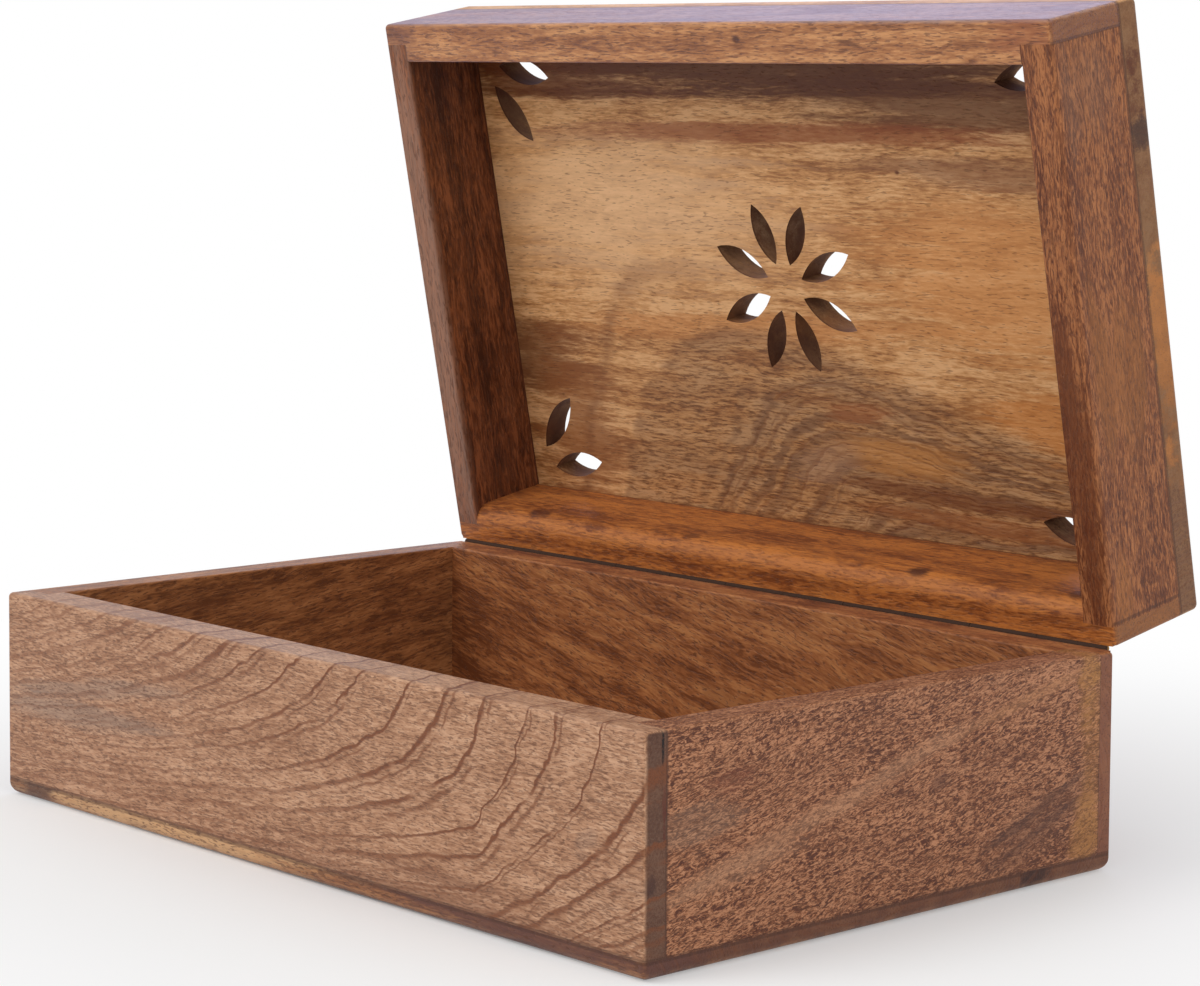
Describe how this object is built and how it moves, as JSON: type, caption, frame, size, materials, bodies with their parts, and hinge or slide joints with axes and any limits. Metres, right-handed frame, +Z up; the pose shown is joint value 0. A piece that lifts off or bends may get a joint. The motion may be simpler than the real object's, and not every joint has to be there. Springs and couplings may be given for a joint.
{
  "type": "hinged wooden pen box",
  "caption": "Rectangular hardwood pen box with rebated corners and a hinged, fretted lid that stands open.",
  "frame": {"origin": "centre of the base's flat underside", "axes": "+X to the right along the front board, +Y from the front to the hinges at the back, +Z up"},
  "size_m": [0.254, 0.1893, 0.2146],
  "materials": {
    "tan_wood": "satin varnished hardwood with visible pores and grain",
    "red_wood": "satin varnished hardwood with visible pores and grain",
    "dark_wood": "satin varnished hardwood with visible pores and grain",
    "orange_wood": "satin varnished hardwood with visible pores and grain",
    "golden_wood": "satin varnished hardwood with visible pores and grain",
    "hinge_brass": "aged satin brass"
  },
  "bodies": {
    "base": {"base_front_board": "tan_wood", "base_back_board": "tan_wood", "base_left_board": "red_wood", "base_right_board": "red_wood", "base_bottom_panel": "dark_wood", "hinge_base_leaf": "hinge_brass", "hinge_pin": "hinge_brass", "hinge_base_screws": "hinge_brass"},
    "lid": {"lid_front_board": "tan_wood", "lid_back_board": "orange_wood", "lid_left_board": "dark_wood", "lid_right_board": "red_wood", "lid_panel": "golden_wood", "hinge_lid_leaf": "hinge_brass", "hinge_lid_screws": "hinge_brass"}
  },
  "joints": [
    {"name": "lid_hinge", "type": "hinge", "parent": "base", "child": "lid", "pos_m": [0, 0.07878, 0.0546], "axis": [1, 0, 0], "range_deg": [-101, 79]}
  ]
}
